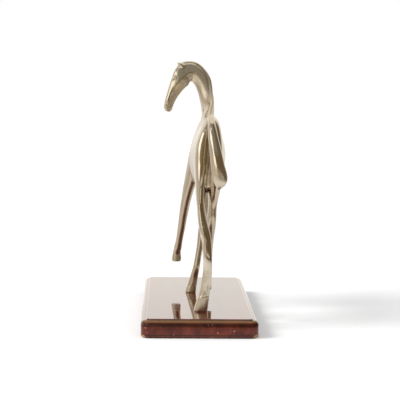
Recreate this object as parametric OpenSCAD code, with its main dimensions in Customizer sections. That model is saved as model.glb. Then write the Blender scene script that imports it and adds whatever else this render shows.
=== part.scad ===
// Cast metal horse at a trot, head turned to its left, on a moulded wooden plinth.
// Millimetres. The origin is at the centre of the underside, +Z is up and the horse faces +Y.

/* [Plinth] */
// Length of the plinth, along the horse
plinth_l = 262; // [236:1:314]
// Width of the plinth
plinth_w = 100; // [84:1:140]
// Thickness of the wooden board
plinth_t = 15; // [12:0.5:24]
// Radius of the rounded corners in plan
plinth_corner_r = 8; // [7:0.5:14]
// Radius of the ovolo moulding along the top edge
ovolo_r = 4; // [2:0.5:5]
// Width of the sunk border between the moulding and the raised panel
border_w = 1; // [0.5:0.1:1.5]
// Rise of the raised panel above the border
panel_rise = 1.2; // [0.6:0.1:3]

/* [Felt pad] */
// Thickness of the felt glued under the plinth
felt_t = 1; // [0.5:0.1:3]
// Margin between the felt and the edge of the plinth
felt_inset = 2; // [0:0.5:6]

/* [Body] */
// Place of the horse along the plinth, from its middle
stance_y = -6; // [-14:1:8]
// Length of the body from breast to buttock
body_l = 148; // [120:1:178]
// Width of the body at the barrel
body_w = 32; // [27:0.5:40]
// Height of the back above the belly
trunk_h = 66; // [55:1:80]

/* [Head and neck] */
// Height of the poll above the back
neck_rise = 53; // [44:1:64]
// Thickness of the neck from side to side
neck_w = 11; // [9:0.5:14]
// Width of the head at the eyes
head_w = 13; // [10:0.5:16]
// Length of the ears
ear_l = 7.5; // [6:0.5:12]
// Radius of the eyes
eye_r = 1.7; // [1.2:0.1:2.2]
// Radius of the cheeks
cheek_r = 7.2; // [5:0.2:8]
// Width of the mane
mane_w = 3.6; // [2:0.2:5]
// Height of the mane above the crest
mane_h = 0.9; // [0.4:0.1:1.8]

/* [Legs] */
// Height of the belly above the plinth
leg_h = 102; // [85:1:123]
// Thickness of the hind legs at the cannon
hind_leg_w = 7.6; // [6:0.1:9.2]
// Thickness of the forelegs at the cannon
fore_leg_w = 6; // [5:0.1:7.4]
// Width of the standing hind hoof
hind_hoof_w = 12.4; // [10:0.1:15]
// Width of the raised hind hoof
raised_hind_hoof_w = 8.8; // [7.5:0.1:11]
// Width of the standing fore hoof
fore_hoof_w = 10; // [8.2:0.1:12]
// Width of the raised fore hoof
raised_fore_hoof_w = 9.4; // [7.5:0.1:11]
// Length of the hooves from heel to toe
hoof_l = 17; // [13:0.5:21]

/* [Tail] */
// Width of the tail at its brush
tail_w = 13; // [10:0.5:16]
// Thickness of the tail
tail_t = 7.6; // [6:0.2:10]

/* [Fixings] */
// Diameter of the dowels in the leg joints
leg_dowel_d = 4; // [2.5:0.1:4.8]
// Diameter of the dowel in the neck joint
neck_dowel_d = 5; // [3:0.1:6]
// Diameter of the dowel in the tail joint
tail_dowel_d = 2.4; // [1.5:0.1:3]
// Length of the dowels in the leg and neck joints
dowel_l = 16; // [10:0.5:20]
// Length of the dowel in the tail joint
tail_dowel_l = 9; // [6:0.5:11]
// Width of the joint line between the torso and a casting
joint_gap = 0.05; // [0.02:0.01:0.2]
// Clearance around a dowel in its bore
dowel_gap = 0.1; // [0.05:0.05:0.2]
// Free depth past each end of a dowel
dowel_end_gap = 0.25; // [0.1:0.05:0.5]
// Diameter of the studs in the standing hooves
stud_d = 3; // [2.5:0.1:4]
// Length of the stud inside a hoof
stud_grip = 9; // [6:0.5:10]
// Clearance around a stud in the plinth
stud_gap = 0.3; // [0.1:0.05:0.6]
// Diameter of the washers
washer_d = 9; // [8:0.5:12]
// Thickness of the washers
washer_t = 0.8; // [0.5:0.1:1.5]
// Width of the nuts across their flats
nut_w = 5.5; // [5:0.1:7]
// Thickness of the nuts
nut_t = 2.4; // [1.8:0.1:3.5]
// Clearance around a washer in its counterbore
counterbore_gap = 0.5; // [0.2:0.1:1.5]

/* [Hidden] */
$fn = 64;

metal = [0.78, 0.72, 0.62];
steel = [0.6, 0.61, 0.63];
mahogany = [0.3, 0.14, 0.1];
baize = [0.1, 0.22, 0.14];

ground_z = felt_t + plinth_t;
bore_slack = dowel_gap * 2;
washer_room = washer_d + counterbore_gap * 2;
nut_room = nut_t + 1;
counterbore_h = washer_t + nut_room;

// Sides of the cast sections and rings between two stations
torso_sides = 24;
limb_sides = 16;
head_sides = 20;
mane_sides = 10;
ear_sides = 10;
ring_steps = 3;

// The casting was modelled at these sizes, which the stations below are drawn in
cast_body_l = 148;
cast_leg_h = 102;
cast_trunk_h = 66;
cast_neck_rise = 53;
cast_body_w = 32;
cast_neck_w = 11;
cast_head_w = 13;
cast_fore_leg_w = 6;
cast_hind_leg_w = 7.6;
cast_tail_w = 13;
cast_tail_t = 7.6;

// How sharp a section is towards its front, its back and, if that differs, its sides:
// 1 is a ridge, 2 is an ellipse, 3 is blunt
body_form = [1.5, 2.2];
neck_form = [1.6, 1.9];
head_form = [1.9, 1.9, 1.45];
tail_form = [2, 1.9];
hoof_form = [2.2, 3.4];
round_form = [2, 2];

// A station is [x, y, z, half width, front, back, pitch, heading] of one section, with z from the
// top of the plinth. Pitch 0 looks down, 90 forward and 180 up; heading turns the section left.
// On a leg the ninth value is the form of that section.
body_line = [
  [9.2, -80, 150, 2, 5, 8, 90, 0],
  [9.2, -76, 148, 5, 13, 22, 90, 0],
  [9.2, -66, 145, 7.5, 23, 35, 90, 0],
  [9.2, -50, 141, 12.5, 29, 34, 90, 0],
  [9.1, -27, 137, 15, 30, 30, 90, 0],
  [8.8, -2, 133, 16, 30.5, 31, 90, 0],
  [8, 23, 131, 15.6, 36, 32, 90, 0],
  [7.4, 42, 130, 13.8, 38, 31, 90, 0],
  [7, 55, 132, 10.5, 29, 26, 90, 0],
  [6.8, 62, 135, 6.5, 20, 18, 90, 0],
  [6.8, 65.5, 137, 2.5, 9, 9, 90, 0]
];
neck_line = [
  [8.6, 30, 143, 9.5, 22, 26, 138, 0],
  [9.6, 39, 156.5, 7.8, 20, 22, 146, 0],
  [10.3, 46.5, 168.5, 6, 16.5, 16.5, 156, 4],
  [10, 52, 180, 5.4, 12, 11.5, 168, 20],
  [7.6, 56, 192, 5.4, 8.2, 8.2, 168, 48],
  [3.4, 57, 203, 5.4, 8.3, 8.3, 155, 74],
  [-3.6, 58, 209.8, 5.6, 9, 9.2, 110, 88],
  [-11, 58, 207.2, 6, 12, 10, 76, 90],
  [-14.3, 58, 202.9, 6.4, 12.2, 8, 58, 90],
  [-17.7, 58, 199, 6.4, 8.8, 7.2, 42, 90],
  [-23.8, 58, 192.9, 5.2, 4.2, 8, 30, 90],
  [-27.3, 58, 185.2, 4.4, 2.8, 6.9, 22, 90],
  [-29.4, 58, 178.4, 4.3, 2.3, 6.3, 18, 90],
  [-29.5, 58, 173.7, 3.5, 2.1, 5, 12, 90],
  [-28.8, 58, 171.5, 1.7, 1.1, 2.4, 8, 90]
];
tail_line = [
  [9.2, -62, 163, 4, 5, 5, -80, 0],
  [9, -80, 168, 3.2, 4, 4, -74, 0],
  [9.2, -90, 163.5, 3.2, 3.8, 4.2, -45, -4],
  [10.2, -95.5, 154, 4.2, 4, 5, -20, -10],
  [12.2, -98, 142, 5.2, 4.2, 6.2, -8, -16],
  [14.2, -98.5, 130, 6, 4.4, 7, -3, -20],
  [15.8, -98.5, 121.5, 6.7, 4.4, 7, 0, -20],
  [16.6, -98.5, 115.8, 6.1, 4, 6.2, 0, -20],
  [16.6, -98.5, 111.6, 4.3, 3, 4.4, 0, -20],
  [15.9, -98.5, 109, 2.2, 1.7, 2.4, 0, -20],
  [15.6, -98.5, 107.6, 0.8, 0.7, 0.9, 0, -20]
];
left_hind_line = [
  [7.4, -63, 170, 0.9, 2, 4, 0, 0, 2.4],
  [6.6, -64, 166, 2.8, 7, 12, 0, 0, 2.6],
  [5.2, -64.5, 158, 5.2, 12, 17.5, 0, 0, 2.8],
  [3.8, -64, 148, 7, 16, 19.6, 0, -3, 2.8],
  [2.9, -63, 138, 7.6, 19, 21.6, 0, -4, 2.8],
  [2.3, -62, 128, 7.1, 20, 23.2, 0, -4, 2.8],
  [1.7, -62, 116, 5.7, 17.5, 23.4, 0, -4, 2.7],
  [1.4, -66, 101, 4.4, 12, 19, -6, -6, 2.3],
  [1.9, -73, 89, 3.8, 8, 12, -12, -10, 1.9],
  [3, -78.5, 78, 4.1, 6.5, 8, -10, -14, 1.8],
  [4.8, -81, 69, 4.4, 5.5, 6.8, -3, -16, 1.8],
  [6.3, -82.3, 60, 4, 4.6, 5.6, 0, -18, 1.8],
  [7.1, -83, 48, 3.8, 4.2, 4.8, 0, -18, 2],
  [7.2, -83.2, 36, 3.9, 4.2, 4.8, 0, -12, 2.1],
  [6.3, -83, 26, 4.4, 5, 5.2, 0, -6, 2.2],
  [5.2, -82, 19, 4.4, 5, 5.2, 3, 0, 2.3],
  [4.2, -80.6, 13.6, 4.7, 6, 6, 0, 0, 2.4]
];
right_hind_line = [
  [11.6, -61, 170, 0.9, 2, 4, 0, 0, 2.4],
  [12.4, -62, 166, 3.5, 7, 12, 0, 0, 2.6],
  [12.6, -62.5, 158, 5.6, 12, 17, 0, 0, 2.8],
  [12.8, -62, 148, 6.9, 16, 19.5, 0, 0, 2.8],
  [13, -60, 138, 7.5, 19, 21, 0, 0, 2.8],
  [13.6, -57.5, 128, 7, 20, 22, 0, 0, 2.8],
  [13.3, -55, 116, 7.1, 17.5, 23, 0, 0, 2.7],
  [12.9, -52, 102, 5.3, 12, 18, -3, 0, 2.5],
  [12, -51.5, 90, 4, 8, 12, -8, 0, 2.2],
  [11.2, -52.5, 79, 4.2, 6.5, 9, 0, 0, 2.2],
  [10.4, -50, 70, 4.4, 5.5, 7, 16, 0, 2.2],
  [9.8, -46, 61, 3.9, 4.6, 5, 25, 0, 2.4],
  [9.3, -40, 50, 3.7, 4.2, 4.6, 28, 0, 2.6],
  [9, -33, 39, 3.7, 4.2, 4.8, 28, 0, 2.6],
  [9, -27, 30, 3.9, 4.8, 5.6, 25, 0, 2.4],
  [9, -21, 24.5, 3.7, 4.6, 4.8, 32, 0, 2.4],
  [9, -16.5, 20.5, 3.8, 5.4, 5.4, 20, 0, 2.4]
];
left_fore_line = [
  [5.6, 32, 158, 1.2, 4, 4, 0, 0, 2.2],
  [2.4, 38, 148, 5.2, 13, 13, 0, 0, 2.4],
  [-0.4, 43, 134, 6.4, 17, 16, 5, 0, 2.6],
  [-2.6, 46, 121, 6.2, 15, 15, 12, 2, 2.7],
  [-5, 49, 109, 5.5, 11, 11.5, 22, 6, 2.8],
  [-7.5, 53, 98, 4.8, 8.5, 8, 30, 10, 2.9],
  [-9.5, 58.5, 87, 4.3, 6.5, 6, 30, 12, 2.9],
  [-11.3, 64, 76, 4, 5.6, 5.2, 32, 12, 2.9],
  [-12.5, 69.5, 67, 3.7, 5.4, 4.8, 33, 12, 2.9],
  [-13.4, 74, 59.5, 3.5, 5.2, 4.6, 33, 12, 2.9],
  [-14.9, 81, 49.2, 3.2, 4, 4, 34, 12, 2.8],
  [-16, 86.5, 41.2, 3.2, 3.8, 4, 34, 12, 2.6],
  [-16.9, 90.5, 36.2, 3.5, 4.3, 4.8, 32, 10, 2.4],
  [-17.4, 93.5, 33, 3.5, 4.2, 4.3, 30, 6, 2.4],
  [-17.8, 96, 29.8, 3.9, 5.2, 5.2, 20, 0, 2.4]
];
right_fore_line = [
  [10.4, 30, 158, 1.2, 4, 4, 0, 0, 2.2],
  [12.6, 35, 148, 5.2, 13, 13, 0, 0, 2.4],
  [13.8, 39, 134, 6.4, 17, 16, 0, 0, 2.6],
  [13, 41, 121, 6, 15, 15, 0, 0, 2.7],
  [11.6, 41, 109, 5.2, 11, 11.5, 0, 0, 2.7],
  [10.4, 39.5, 98, 4.5, 8.5, 8.5, 0, 0, 2.6],
  [9, 37.5, 87, 4, 6.5, 6.8, 0, 0, 2.5],
  [7.7, 36, 75, 3.7, 5.6, 5.8, 0, 0, 2.4],
  [6.3, 35, 65, 3.6, 5.4, 5.2, 0, 0, 2.4],
  [5.2, 34, 57, 3.5, 5.3, 5, 0, 0, 2.4],
  [3.6, 33, 45, 3, 4, 4.2, 0, 0, 2.4],
  [1.8, 32, 34, 2.9, 3.8, 4.2, 0, 0, 2.4],
  [0.3, 31, 25, 3.1, 4.3, 5, 0, 0, 2.3],
  [-1.8, 31, 15.5, 3.6, 4.2, 4.4, 8, 0, 2.3],
  [-3.4, 30.5, 8.6, 4.2, 5.2, 5.2, 0, 0, 2.4]
];
// Centre and pitch of the ground face of each hoof: [x, y, z, pitch]
left_hind_sole = [1.3, -78, 0, 0];
right_hind_sole = [9, -13, 11, 8];
left_fore_sole = [-18.2, 98, 22.4, 6];
right_fore_sole = [-5.2, 29.5, 0, 0];
// Depth kept clear past a joint face
joint_room = 5;
// Turn of the dowels and studs about their axes, which keeps the seams of their bores off the
// corners of the cast sections
seam_turn = 7;
// Share of a hoof's length ahead of its centre
toe_share = 0.52;
// Station at which each casting is split from the torso; on a leg it is counted from the coronet
leg_split = 9;
neck_joint = 2;
tail_joint = 1;
// Stations at which the mane starts and ends and the head begins
mane_start = 3;
mane_end = 8;
head_start = 6;
// Middle plane of the turned head
head_y = 58;
// Root of the ears, the eye and the cheek in that plane: [x, z]
ear_root = [-13.4, 214.6];
eye_place = [-21.6, 203.8];
cheek_place = [-13.6, 203.2];
// Pitch of the ears and their distance from the middle plane
ear_pitch = 125;
ear_spread = 3.2;

// Places of the cast size, stretched to the set lengths and heights
function figure_y(y) = stance_y + y * body_l / cast_body_l;
function figure_z(z) =
  let (trunk_top = cast_leg_h + cast_trunk_h)
  z <= cast_leg_h ? z * leg_h / cast_leg_h
  : z <= trunk_top ? leg_h + (z - cast_leg_h) * trunk_h / cast_trunk_h
  : leg_h + trunk_h + (z - trunk_top) * neck_rise / cast_neck_rise;
function figure_point(p) = [p[0], figure_y(p[1]), ground_z + figure_z(p[2])];

// Row of a smooth curve through the stations, at position t counted in stations
function along(rows, t) =
  let (
    last = len(rows) - 1,
    i = min(floor(t), last - 1),
    u = t - i,
    p0 = rows[max(i - 1, 0)],
    p1 = rows[i],
    p2 = rows[i + 1],
    p3 = rows[min(i + 2, last)]
  )
  (2 * p1 + u * (p2 - p0) + u * u * (2 * p0 - 5 * p1 + 4 * p2 - p3)
    + u * u * u * (3 * p1 - p0 - 3 * p2 + p3)) / 2;
function rows_between(rows, from, to, steps) =
  [for (k = [0 : (to - from) * steps]) along(rows, from + k / steps)];

function limb_form(row) = [row[8], row[8]];
function leg_joint(line) = len(line) - 1 - leg_split;

// One section: a closed ring of points about a station
function power(v, e) = sign(v) * pow(abs(v), e);
function turned_left(v, a) = [v[0] * cos(a) - v[1] * sin(a), v[0] * sin(a) + v[1] * cos(a), v[2]];
function facing(row) = turned_left([0, cos(row[6]), sin(row[6])], row[7]);
function widened(row, k) = [for (i = [0 : 7]) i == 3 ? row[i] * k : row[i]];
function ring(row, size, form, sides) =
  let (
    front = facing(row),
    side = turned_left([-1, 0, 0], row[7]),
    centre = figure_point(row)
  )
  [for (k = [0 : sides - 1])
    let (
      a = 360 * k / sides,
      ahead = sin(a) >= 0,
      end = ahead ? form[0] : form[1],
      flank = len(form) > 2 ? form[2] : end,
      reach = (ahead ? row[4] : row[5]) * size[1]
    )
    centre + side * row[3] * size[0] * power(cos(a), 2 / end) + front * reach * power(sin(a), 2 / flank)];

// Solid skin over a list of rings
module skin(rings) {
  sides = len(rings[0]);
  last = len(rings) - 1;
  points = [for (r = rings) each r];
  walls = [
    for (i = [0 : last - 1], k = [0 : sides - 1])
      let (
        a = i * sides + k,
        b = i * sides + (k + 1) % sides
      )
      each [[a, a + sides, b + sides], [a, b + sides, b]]
  ];
  caps = [[for (k = [0 : sides - 1]) k], [for (k = [sides - 1 : -1 : 0]) last * sides + k]];
  polyhedron(points, concat(walls, caps), convexity = 6);
}

// Stretch of a casting between two stations, of one form throughout
module limb(line, from, to, size, form, sides) {
  skin([for (row = rows_between(line, from, to, ring_steps)) ring(row, size, form, sides)]);
}

// Haunch or shoulder of a leg, down to its joint
module leg_stub(line, leg_k) {
  skin([for (row = rows_between(line, 0, leg_joint(line), ring_steps))
    ring(row, [leg_k, 1], limb_form(row), limb_sides)]);
}

// Leg casting from its joint down to the ground face of its hoof
module leg(line, sole, leg_k, hoof_w) {
  last = len(line) - 1;
  coronet = line[last];
  wide = hoof_w / 2;
  toe = hoof_l * toe_share;
  sole_row = [sole[0], sole[1], sole[2], wide, toe, hoof_l - toe, sole[3], 0, hoof_form[0]];
  rim_row = coronet * 0.9 + sole_row * 0.1;
  limb_rings = [for (row = rows_between(line, leg_joint(line), last, ring_steps))
    ring(row, [leg_k, 1], limb_form(row), limb_sides)];
  hoof_rings = [for (row = [rim_row, sole_row]) ring(row, [1, 1], hoof_form, limb_sides)];
  skin(concat(limb_rings, hoof_rings));
}

// Puts its children on a station, with +Z along the limb
module on_station(row) {
  translate(figure_point(row)) rotate([row[6], 0, row[7]]) children();
}

module dowel(row, d, l) {
  on_station(row) rotate(seam_turn) cylinder(d = d, h = l, center = true);
}

// Keeps the casting's side of a joint face clear of the torso
module joint_clearance(row) {
  reach = max(row[3], row[4], row[5]) * 1.5;
  on_station(row) translate([0, 0, -joint_room]) cylinder(r = reach, h = joint_room + joint_gap);
}

module dowel_bore(row, d, l) {
  dowel(row, d + bore_slack, l + dowel_end_gap * 2);
}

// Neck and head with their set widths, and the mane along the crest
neck_rows = [for (i = [0 : len(neck_line) - 1])
  widened(neck_line[i], i < head_start ? neck_w / cast_neck_w : head_w / cast_head_w)];
mane_rows = [for (i = [mane_start : mane_end])
  let (
    row = neck_rows[i],
    lift = row[4] - mane_w / 2 + mane_h,
    front = facing(row),
    taper = i == mane_start || i == mane_end ? 0.4 : 1
  )
  [row[0] + front[0] * lift, row[1] + front[1] * lift, row[2] + front[2] * lift,
    mane_w / 2 * taper, mane_w / 2 * taper, mane_w, row[6], row[7]]];

// Ear on one side of the head: 1 or -1
function ear_rows(side) = [for (step = [[-0.3, 1.9], [0.1, 2.2], [0.65, 1.5], [1, 0.3]])
  let (
    reach = step[0] * ear_l
  )
  [ear_root[0] - reach * sin(ear_pitch), head_y + side * ear_spread, ear_root[1] - reach * cos(ear_pitch),
    step[1], step[1], step[1], ear_pitch, 90]];

// Lines of the four legs, their soles and their thickness against the cast size
leg_lines = [left_fore_line, right_fore_line, left_hind_line, right_hind_line];
fore_k = fore_leg_w / cast_fore_leg_w;
hind_k = hind_leg_w / cast_hind_leg_w;
leg_sizes = [fore_k, fore_k, hind_k, hind_k];
standing_soles = [left_hind_sole, right_fore_sole];

module leg_bore(line) {
  dowel_bore(line[leg_joint(line)], leg_dowel_d, dowel_l);
}

module at_studs() {
  for (sole = standing_soles) {
    translate([sole[0], figure_y(sole[1]), 0]) rotate(seam_turn) children();
  }
}

// Blind bore for the stud, up from the ground face of a standing hoof
module stud_bore(sole) {
  translate([sole[0], figure_y(sole[1]), ground_z - 1]) rotate(seam_turn)
    cylinder(d = stud_d + bore_slack, h = stud_grip + dowel_end_gap + 1);
}

// Edge of the board in section: flat face, ovolo, sunk border and raised panel
module edge_profile() {
  face_h = plinth_t - panel_rise - ovolo_r;
  ovolo_x = plinth_corner_r - ovolo_r;
  square([plinth_corner_r, face_h]);
  square([ovolo_x, face_h + ovolo_r]);
  square([ovolo_x - border_w, plinth_t]);
  intersection() {
    translate([ovolo_x, face_h]) circle(ovolo_r);
    translate([ovolo_x, face_h]) square(ovolo_r);
  }
}

// Straight stretch of the edge along one side of the board
module edge_run(l) {
  rotate([90, 0, 0]) linear_extrude(l, center = true) edge_profile();
}

module board() {
  x = plinth_w / 2 - plinth_corner_r;
  y = plinth_l / 2 - plinth_corner_r;
  translate([-x, -y, 0]) cube([2 * x, 2 * y, plinth_t]);
  for (turn = [0, 180]) {
    rotate(turn) translate([x, 0, 0]) edge_run(2 * y);
    rotate(turn + 90) translate([y, 0, 0]) edge_run(2 * x);
    rotate(turn) translate([x, y, 0]) rotate_extrude(angle = 90) edge_profile();
    rotate(turn) translate([-x, y, 0]) rotate(90) rotate_extrude(angle = 90) edge_profile();
  }
}

module plinth() {
  color(mahogany) difference() {
    translate([0, 0, felt_t]) board();
    at_studs() {
      translate([0, 0, felt_t - 1]) cylinder(d = stud_d + stud_gap * 2, h = plinth_t + 2);
      translate([0, 0, felt_t - 1]) cylinder(d = washer_room, h = counterbore_h + 1);
    }
  }
}

module felt_pad() {
  r = plinth_corner_r - felt_inset;
  x = plinth_w / 2 - plinth_corner_r;
  y = plinth_l / 2 - plinth_corner_r;
  color(baize) union() {
    translate([-x - r, -y, 0]) cube([2 * (x + r), 2 * y, felt_t]);
    translate([-x, -y - r, 0]) cube([2 * x, 2 * (y + r), felt_t]);
    for (cx = [-x, x], cy = [-y, y]) translate([cx, cy, 0]) cylinder(r = r, h = felt_t);
  }
}

module torso_skin() {
  skin([for (row = rows_between(body_line, 0, len(body_line) - 1, ring_steps))
    ring(row, [body_w / cast_body_w, 1], body_form, torso_sides)]);
  for (i = [0 : 3]) leg_stub(leg_lines[i], leg_sizes[i]);
  limb(neck_rows, 0, neck_joint, [1, 1], neck_form, head_sides);
  limb(tail_line, 0, tail_joint, [tail_w / cast_tail_w, tail_t / cast_tail_t], tail_form, limb_sides);
}

module torso() {
  color(metal) difference() {
    resize([0, 0, 0]) difference() {
      torso_skin();
      for (line = leg_lines) joint_clearance(line[leg_joint(line)]);
      joint_clearance(neck_line[neck_joint]);
      joint_clearance(tail_line[tail_joint]);
    }
    for (line = leg_lines) leg_bore(line);
    dowel_bore(neck_line[neck_joint], neck_dowel_d, dowel_l);
    dowel_bore(tail_line[tail_joint], tail_dowel_d, tail_dowel_l);
  }
}

module head_skin() {
  limb(neck_rows, neck_joint, head_start + 2, [1, 1], neck_form, head_sides);
  limb(neck_rows, head_start, len(neck_rows) - 1, [1, 1], head_form, head_sides);
  limb(mane_rows, 0, len(mane_rows) - 1, [1, 1], round_form, mane_sides);
  for (side = [-1, 1]) {
    limb(ear_rows(side), 0, 3, [1, 1], round_form, ear_sides);
    translate(figure_point([eye_place[0], head_y, eye_place[1]])) translate([0, side * head_w * 0.3, 0])
      sphere(eye_r, $fn = 16);
  }
  translate(figure_point([cheek_place[0], head_y, cheek_place[1]])) scale([1, head_w * 0.53 / cheek_r, 1])
    sphere(cheek_r, $fn = 32);
}

module head_and_neck() {
  color(metal) difference() {
    resize([0, 0, 0]) head_skin();
    dowel_bore(neck_line[neck_joint], neck_dowel_d, dowel_l);
  }
}

module tail() {
  color(metal) difference() {
    limb(tail_line, tail_joint, len(tail_line) - 1, [tail_w / cast_tail_w, tail_t / cast_tail_t], tail_form, limb_sides);
    dowel_bore(tail_line[tail_joint], tail_dowel_d, tail_dowel_l);
  }
}

module left_foreleg() {
  color(metal) difference() {
    leg(left_fore_line, left_fore_sole, fore_k, raised_fore_hoof_w);
    leg_bore(left_fore_line);
  }
}

module right_foreleg() {
  color(metal) difference() {
    leg(right_fore_line, right_fore_sole, fore_k, fore_hoof_w);
    leg_bore(right_fore_line);
    stud_bore(right_fore_sole);
  }
}

module left_hind_leg() {
  color(metal) difference() {
    leg(left_hind_line, left_hind_sole, hind_k, hind_hoof_w);
    leg_bore(left_hind_line);
    stud_bore(left_hind_sole);
  }
}

module right_hind_leg() {
  color(metal) difference() {
    leg(right_hind_line, right_hind_sole, hind_k, raised_hind_hoof_w);
    leg_bore(right_hind_line);
  }
}

module leg_dowels() {
  color(steel) for (line = leg_lines) dowel(line[leg_joint(line)], leg_dowel_d, dowel_l);
}

module neck_dowel() {
  color(steel) dowel(neck_line[neck_joint], neck_dowel_d, dowel_l);
}

module tail_dowel() {
  color(steel) dowel(tail_line[tail_joint], tail_dowel_d, tail_dowel_l);
}

module hoof_studs() {
  foot_z = felt_t + counterbore_h - washer_t - nut_t;
  color(steel) at_studs() translate([0, 0, foot_z]) cylinder(d = stud_d, h = ground_z + stud_grip - foot_z);
}

module stud_washers() {
  color(steel) at_studs() translate([0, 0, felt_t + counterbore_h - washer_t]) difference() {
    cylinder(d = washer_d, h = washer_t);
    translate([0, 0, -1]) cylinder(d = stud_d + bore_slack, h = washer_t + 2);
  }
}

module stud_nuts() {
  color(steel) at_studs() translate([0, 0, felt_t + counterbore_h - washer_t - nut_t]) difference() {
    cylinder(d = nut_w / cos(30), h = nut_t, $fn = 6);
    translate([0, 0, -1]) cylinder(d = stud_d + bore_slack, h = nut_t + 2);
  }
}

plinth();
felt_pad();
torso();
head_and_neck();
tail();
left_foreleg();
right_foreleg();
left_hind_leg();
right_hind_leg();
leg_dowels();
neck_dowel();
tail_dowel();
hoof_studs();
stud_washers();
stud_nuts();
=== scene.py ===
import math

import bmesh
import bpy
import numpy as np
from bpy.props import FloatProperty, FloatVectorProperty, PointerProperty
from bpy.types import Operator, Panel, PropertyGroup
from mathutils import Matrix, Vector
from mathutils.bvhtree import BVHTree


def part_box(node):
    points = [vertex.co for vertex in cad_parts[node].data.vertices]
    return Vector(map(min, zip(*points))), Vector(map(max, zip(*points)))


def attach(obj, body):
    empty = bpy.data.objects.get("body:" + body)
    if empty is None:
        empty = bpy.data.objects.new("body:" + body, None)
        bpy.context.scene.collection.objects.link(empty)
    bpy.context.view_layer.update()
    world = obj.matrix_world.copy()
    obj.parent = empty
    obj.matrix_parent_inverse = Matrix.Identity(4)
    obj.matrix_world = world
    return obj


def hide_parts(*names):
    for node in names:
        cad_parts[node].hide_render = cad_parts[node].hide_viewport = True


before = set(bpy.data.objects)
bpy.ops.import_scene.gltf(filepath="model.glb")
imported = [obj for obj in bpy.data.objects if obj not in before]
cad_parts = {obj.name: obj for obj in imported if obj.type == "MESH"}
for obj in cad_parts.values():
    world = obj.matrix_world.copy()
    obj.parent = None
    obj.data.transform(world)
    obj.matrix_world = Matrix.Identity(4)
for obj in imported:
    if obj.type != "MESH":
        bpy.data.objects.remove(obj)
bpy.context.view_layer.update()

bl_info = {
    "name": "Metal Horse Sculpture",
    "version": (1, 0, 0),
    "blender": (4, 5, 0),
    "location": "View3D > Sidebar > Sculpture",
    "description": "A polished cast metal horse at a trot on a lacquered wooden plinth",
    "category": "Add Mesh",
}

MM = 0.001
PLINTH_LOW, PLINTH_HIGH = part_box("plinth")
FELT_LOW, FELT_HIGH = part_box("felt_pad")
GROUND = PLINTH_HIGH.z
STANCE = -6

# The casting's stations, a little finer than the CAD model's: x, y, height above the plinth, half
# width, front and back reach in millimetres, then pitch and heading in degrees, and on a leg the
# form of its section. Pitch 0 looks down and 90 forward.
BODY = (
    (9.2, -80, 150, 2, 5, 8, 90, 0),
    (9.2, -76, 148, 5, 13, 22, 90, 0),
    (9.2, -66, 145, 7.5, 23, 35, 90, 0),
    (9.2, -50, 141, 12.5, 29, 34, 90, 0),
    (9.1, -27, 137, 15, 30, 30, 90, 0),
    (8.8, -2, 133, 16, 30.5, 31, 90, 0),
    (8, 23, 131, 15.6, 36, 32, 90, 0),
    (7.4, 42, 130, 13.8, 38, 31, 90, 0),
    (7, 55, 132, 10.5, 29, 26, 90, 0),
    (6.8, 62, 135, 6.5, 20, 18, 90, 0),
    (6.8, 65.5, 137, 2.5, 9, 9, 90, 0),
)
NECK = (
    (8.6, 30, 143, 9.5, 22, 26, 138, 0),
    (9.6, 39, 156.5, 7.8, 20, 22, 146, 0),
    (10.3, 46.5, 168.5, 6, 16.5, 16.5, 156, 4),
    (10, 52, 180, 5.4, 12, 11.5, 168, 20),
    (7.6, 56, 192, 5.4, 8.2, 8.2, 168, 48),
    (3.4, 57, 203, 5.4, 8.3, 8.3, 155, 74),
    (-3.6, 58, 209.8, 5.6, 9, 9.2, 110, 88),
    (-11, 58, 207.2, 6, 12, 10, 76, 93),
    (-15, 57.6, 203.9, 6.4, 11, 9.2, 58, 97),
    (-18.9, 57.2, 200.1, 6, 7.2, 8.8, 42, 97),
    (-24.9, 56.5, 193.6, 4.6, 2.9, 9.3, 30, 97),
    (-28.2, 56, 185.6, 3.9, 1.8, 7.9, 22, 97),
    (-30.2, 55.8, 178.7, 3.7, 1.5, 7.1, 18, 97),
    (-30.2, 55.8, 173.9, 3.1, 1.4, 5.7, 12, 97),
    (-28.8, 55.9, 171.5, 1.7, 1.1, 2.4, 8, 97),
)
TAIL = (
    (9.2, -62, 163, 4, 5, 5, -80, 0),
    (9, -80, 168, 3.2, 4, 4, -74, 0),
    (9.2, -90, 163.5, 3.2, 3.8, 4.2, -45, -2),
    (10.2, -95.5, 154, 4.2, 4, 5, -20, -4),
    (12.2, -98, 142, 5.2, 4.2, 6.2, -8, -6),
    (14.2, -98.5, 130, 6, 4.4, 7, -3, -6),
    (15.8, -98.5, 121.5, 6.7, 4.4, 7, 0, -6),
    (16.6, -98.5, 115.8, 6.1, 4, 6.2, 0, -6),
    (16.6, -98.5, 111.6, 4.3, 3, 4.4, 0, -6),
    (15.9, -98.5, 109, 2.2, 1.7, 2.4, 0, -6),
    (15.6, -98.5, 107.6, 0.8, 0.7, 0.9, 0, -6),
)
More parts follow.
